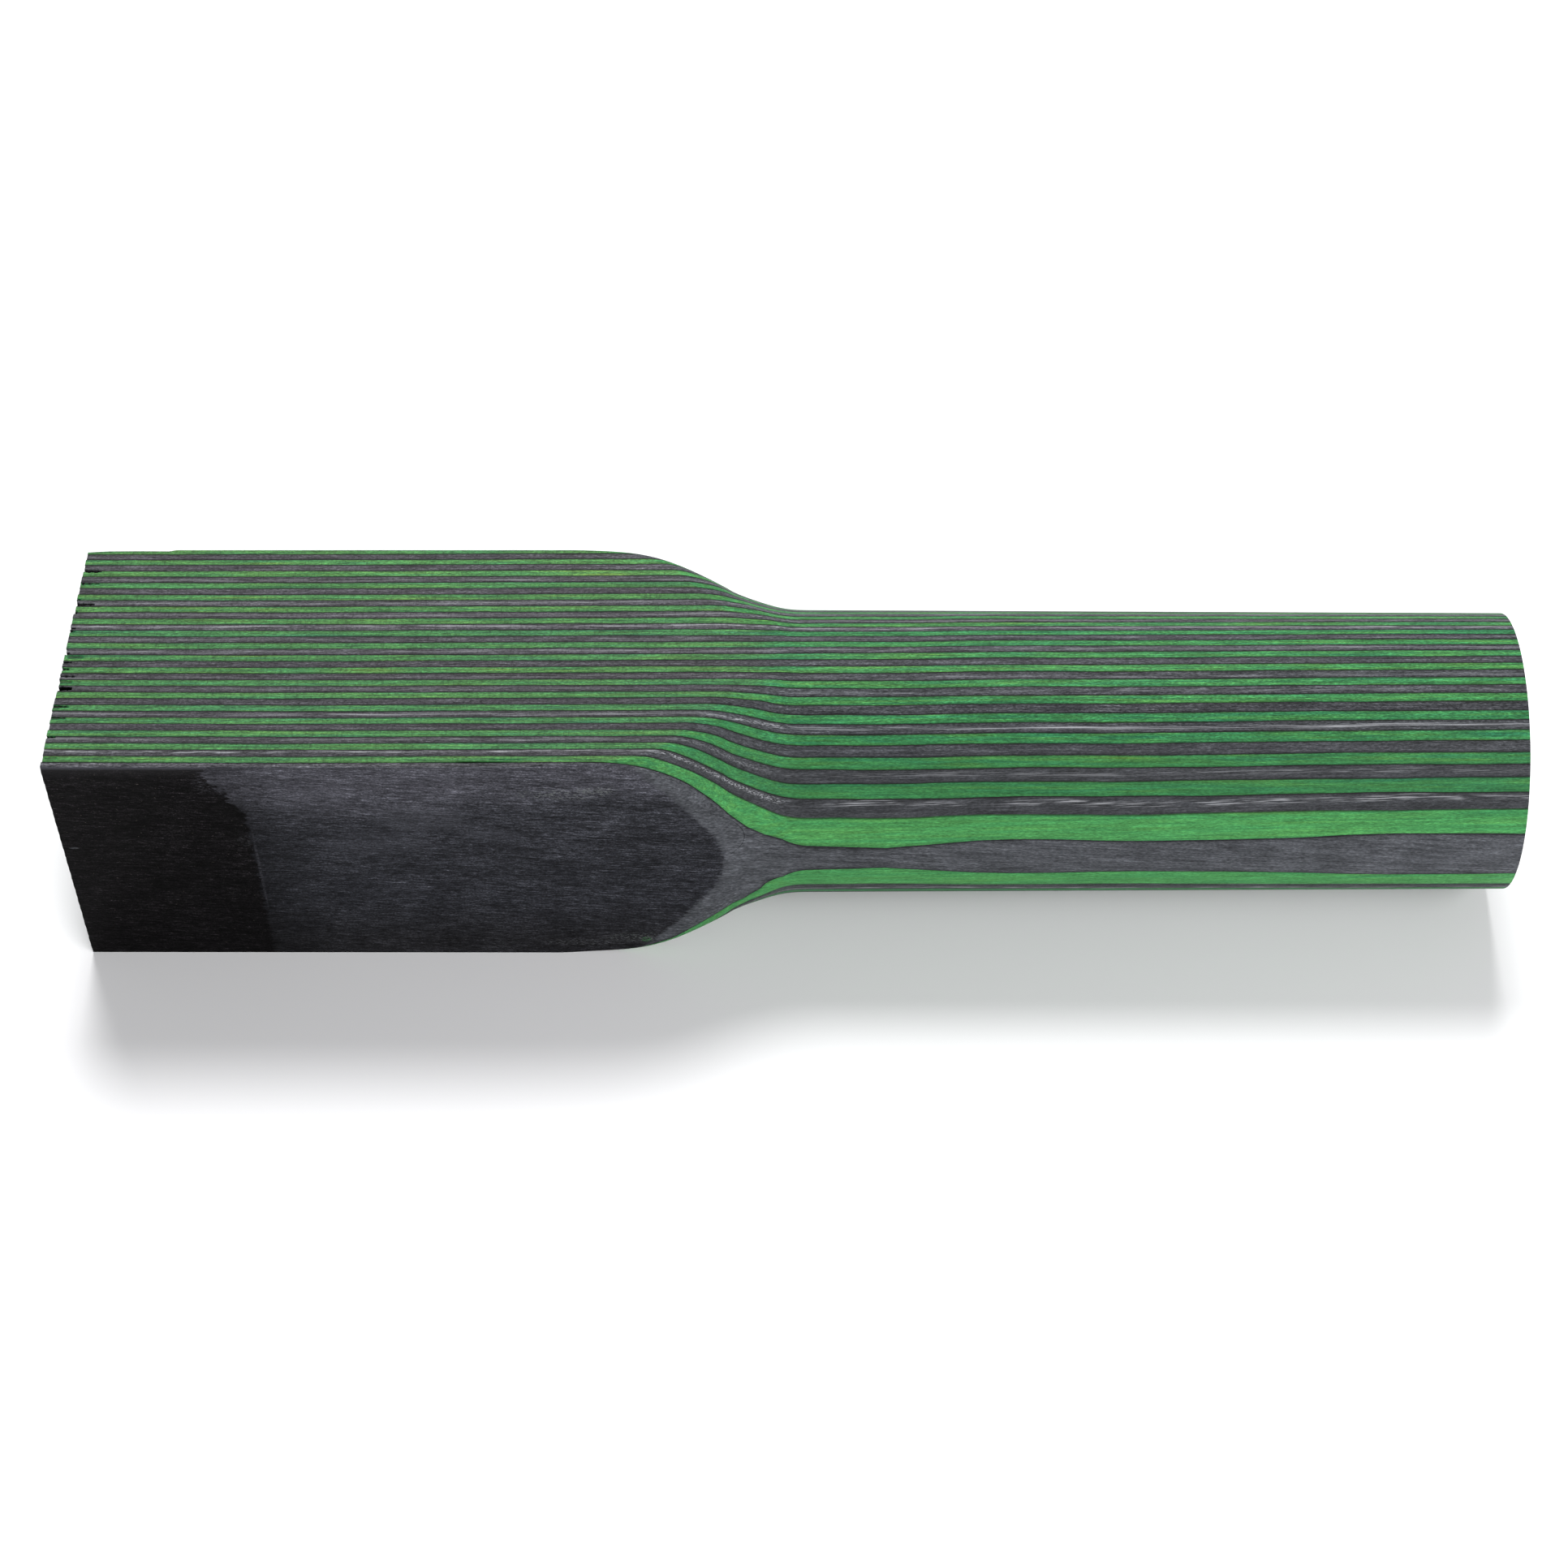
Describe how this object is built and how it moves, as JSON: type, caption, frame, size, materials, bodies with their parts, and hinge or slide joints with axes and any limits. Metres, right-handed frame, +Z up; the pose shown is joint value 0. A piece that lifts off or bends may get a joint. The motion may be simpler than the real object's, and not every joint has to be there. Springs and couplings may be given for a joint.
{
  "type": "dyed plywood turning blank",
  "caption": "Square laminated hardwood blank, half of it turned to a round bar below an ogee shoulder; its green and charcoal veneers show as stripes along it.",
  "frame": {"origin": "middle of the base of the bounding box, on the surface that the blank rests on", "axes": "+X along the blank from the square end to the round end, +Y through the veneer stack from the front veneer to the back one, +Z up across the sawn height"},
  "size_m": [0.254, 0.052, 0.0508],
  "materials": {
    "green_veneer": "dyed birch veneer, sawn and turned edges, unfinished satin",
    "charcoal_veneer": "dyed birch veneer, sawn and turned edges, unfinished satin"
  },
  "bodies": {
    "root": {"veneer_01_charcoal": "charcoal_veneer", "veneer_02_green": "green_veneer", "veneer_03_charcoal": "charcoal_veneer", "veneer_04_green": "green_veneer", "veneer_05_charcoal": "charcoal_veneer", "veneer_06_green": "green_veneer", "veneer_07_charcoal": "charcoal_veneer", "veneer_08_green": "green_veneer", "veneer_09_charcoal": "charcoal_veneer", "veneer_10_green": "green_veneer", "veneer_11_charcoal": "charcoal_veneer", "veneer_12_green": "green_veneer", "veneer_13_charcoal": "charcoal_veneer", "veneer_14_green": "green_veneer", "veneer_15_charcoal": "charcoal_veneer", "veneer_16_green": "green_veneer", "veneer_17_charcoal": "charcoal_veneer", "veneer_18_green": "green_veneer", "veneer_19_charcoal": "charcoal_veneer", "veneer_20_green": "green_veneer", "veneer_21_charcoal": "charcoal_veneer", "veneer_22_green": "green_veneer", "veneer_23_charcoal": "charcoal_veneer", "veneer_24_green": "green_veneer", "veneer_25_charcoal": "charcoal_veneer", "veneer_26_green": "green_veneer", "veneer_27_charcoal": "charcoal_veneer", "veneer_28_green": "green_veneer", "veneer_29_charcoal": "charcoal_veneer", "veneer_30_green": "green_veneer", "veneer_31_charcoal": "charcoal_veneer", "veneer_32_green": "green_veneer", "veneer_33_charcoal": "charcoal_veneer", "veneer_34_green": "green_veneer", "veneer_35_charcoal": "charcoal_veneer", "veneer_36_green": "green_veneer"}
  },
  "joints": []
}
